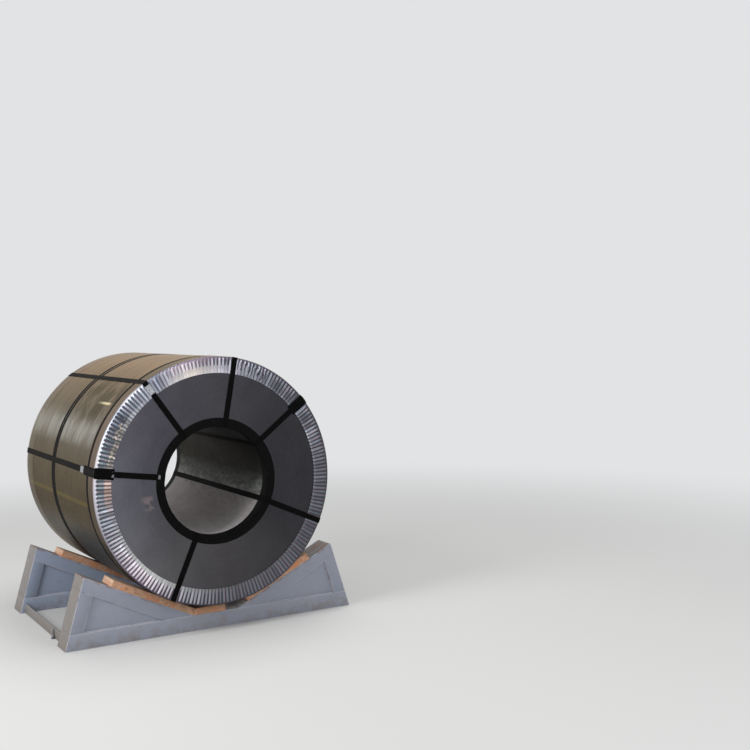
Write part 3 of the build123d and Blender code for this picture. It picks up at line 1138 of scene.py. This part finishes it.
def wood_finish():
    """Sawn lining boards: orange-brown with grain along X, dusty on top, darker at their ends."""
    material, f = new_finish("lining_wood")
    front, _, up = f.facing()
    _, y, _ = f.place()
    grain = f.noise((2.2, 46, 70), detail=5, distortion=0.6)
    patches = f.noise((9, 9, 9), detail=4)
    knots = f.fade(f.cells((5, 16, 16), "Distance"), 0.16, 0.06)
    colour = f.mix(paint(176, 134, 108), paint(232, 196, 168), f.fade(grain, 0.3, 0.7))
    colour = f.mix(colour, paint(218, 134, 86), f.fade(patches, 0.50, 0.64) * 0.8)
    colour = f.mix(colour, paint(206, 126, 84), f.fade(abs(y), FLAT_BOARD_HALF, 0.1) * 0.6)
    colour = f.mix(colour, paint(162, 150, 128), f.fade(patches, 0.46, 0.34) * 0.75)
    colour = f.mix(colour, paint(104, 68, 48), knots * 0.8)
    end_rings = f.noise((1, 60, 150), detail=3, distortion=1.2)
    cut_end = f.mix(paint(150, 98, 72), paint(206, 162, 130), end_rings)
    colour = f.mix(colour, cut_end, f.fade(abs(front), 0.8, 0.95) * 0.5)
    dust = f.fade(up, 0.5, 0.85) * f.fade(patches, 0.25, 0.6)
    f.surface(
        base_color=f.mix(colour, paint(152, 140, 124), dust * 0.7),
        roughness=0.74,
        specular_ior_level=0.3,
        normal=f.bump(grain, 0.45, 2 * MM),
    )
    return material


# Studio

WHITE = (1, 1, 1, 1)
BACKGROUND = paint(226, 227, 228)
SKY_STRENGTH = 0.55

# Radius of the floor, and the distances between which it fades into the background
FLOOR_RADIUS = 60
FLOOR_FADE = (2.0, 7.0)

# Place, width in metres and power in watts of each lamp
LAMPS = {
    "key_lamp": ((1.5, -5.5, 4.5), 3.0, 260),
    "top_lamp": ((0.0, 1.0, 5.5), 3.0, 120),
    "fill_lamp": ((6.0, 1.5, 3.0), 2.5, 60),
}


def make_camera():
    """The camera that took the photograph."""
    data = bpy.data.cameras.new("camera")
    data.lens = CAMERA_LENS
    data.sensor_width = CAMERA_SENSOR
    camera = bpy.data.objects.new("camera", data)
    turn = Matrix.Rotation(radians(CAMERA_HEADING), 4, "Z")
    tilt = Matrix.Rotation(radians(90 + CAMERA_TILT), 4, "X")
    roll = Matrix.Rotation(radians(CAMERA_ROLL), 4, "Z")
    camera.matrix_world = Matrix.Translation(CAMERA_PLACE) @ turn @ tilt @ roll
    bpy.context.scene.collection.objects.link(camera)
    bpy.context.scene.camera = camera


def make_world():
    """Even light from all round, and a pale background."""
    world = bpy.data.worlds.new("studio")
    bpy.context.scene.world = world
    world.use_nodes = True
    f = Finish(world.node_tree)
    light = f.node("ShaderNodeBackground", {}, {"Color": WHITE, "Strength": SKY_STRENGTH})
    pale = f.node("ShaderNodeBackground", {}, {"Color": BACKGROUND, "Strength": 1.0})
    seen = f.kind_of_ray("Camera", "Glossy", "Transmission").math("MINIMUM", 1.0)
    shader = f.node("ShaderNodeMixShader", {}, {0: seen, 1: light, 2: pale})
    f.node("ShaderNodeOutputWorld", {}, {"Surface": shader}, None)


def make_lamp(name, place, width, power):
    """A soft square lamp aimed at the coil."""
    data = bpy.data.lights.new(name, "AREA")
    data.size = width
    data.energy = power
    lamp = bpy.data.objects.new(name, data)
    lamp.location = place
    lamp.rotation_mode = "QUATERNION"
    lamp.rotation_quaternion = (BORE_AXIS - Vector(place)).to_track_quat("-Z", "Y")
    bpy.context.scene.collection.objects.link(lamp)


def make_floor():
    """A pale floor that fades into the background away from the object."""
    bpy.ops.object.select_all(action="DESELECT")
    bpy.ops.mesh.primitive_circle_add(vertices=64, radius=FLOOR_RADIUS, fill_type="NGON")
    floor = placed(bpy.context.object, "floor")
    material, f = new_finish("floor_pale")
    x, y, _ = f.place()
    far = f.fade((x * x + y * y) ** 0.5, *FLOOR_FADE)
    matt = f.node("ShaderNodeBsdfDiffuse", {}, {"Color": paint(206, 206, 205)})
    glow = f.node("ShaderNodeEmission", {}, {"Color": BACKGROUND, "Strength": 1.0})
    seen = f.kind_of_ray("Camera", "Glossy")
    shader = f.node("ShaderNodeMixShader", {}, {0: far * seen, 1: matt, 2: glow})
    f.node("ShaderNodeOutputMaterial", {}, {"Surface": shader}, None)
    floor.data.materials.append(material)


scene = bpy.context.scene
scene.view_settings.view_transform = "Standard"
make_camera()
make_world()
make_floor()
for name, (place, width, power) in LAMPS.items():
    make_lamp(name, place, width, power)

strip = coil_finish()
sheet = ring_finish()
paintwork = saddle_finish()
boards = wood_finish()
strapping = black_steel_finish()
lacquer = lacquer_finish()
rubber = rubber_finish()
zinc = zinc_finish()

wound_strip(strip)
for row in ("front", "rear"):
    crimped_ring(row, sheet)
    saddle_welds(row, paintwork)
rail_bolt(zinc)

for name, node in frame["nodes"].items():
    if name.startswith(("saddle", "floor_rail")):
        eased(name, f"{name}_eased", paintwork, "saddle_paint", EASED_STEEL)
    elif name.startswith("lining"):
        eased(name, f"{name}_eased", boards, "lining_wood", EASED_WOOD)
    elif name.startswith("corner_pad"):
        eased(name, f"{name}_eased", rubber, "pad_rubber", EASED_RUBBER)
    elif "_seal_" in name:
        crimped_seal(name, zinc)
    elif name.startswith(("bore_ring", "eye_strap", "girth_strap")):
        node.data.materials.clear()
        node.data.materials.append(lacquer if name.startswith("bore") else strapping)
